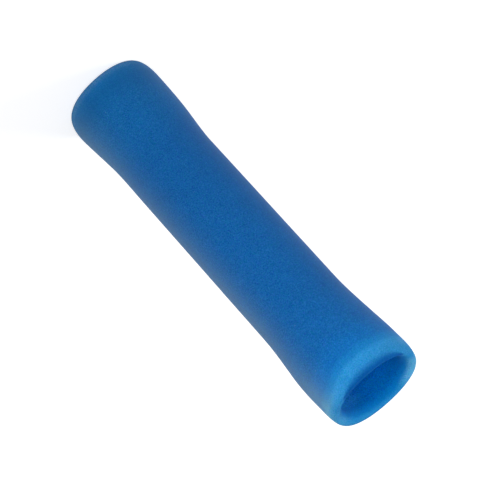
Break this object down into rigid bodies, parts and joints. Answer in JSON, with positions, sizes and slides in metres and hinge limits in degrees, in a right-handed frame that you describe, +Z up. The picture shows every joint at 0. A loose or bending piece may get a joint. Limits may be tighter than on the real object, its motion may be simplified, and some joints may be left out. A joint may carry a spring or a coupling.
{
  "type": "butt splice connector",
  "caption": "Insulated crimp butt splice: a belled blue vinyl tube round a tinned copper barrel with a wire stop at its middle, to join two wires end to end.",
  "frame": {"origin": "on the barrel's axis at the height of the lower mouth's rim, on the surface that the connector stands on", "axes": "+Z up the connector, from the lower mouth to the upper one; +X towards the barrel's brazed seam"},
  "size_m": [0.0061, 0.006, 0.0255],
  "materials": {
    "insulation": "matte, faintly translucent blue vinyl",
    "barrel": "bright tin plate on copper"
  },
  "bodies": {
    "root": {"insulating_sleeve": "insulation", "crimp_barrel": "barrel"}
  },
  "joints": []
}
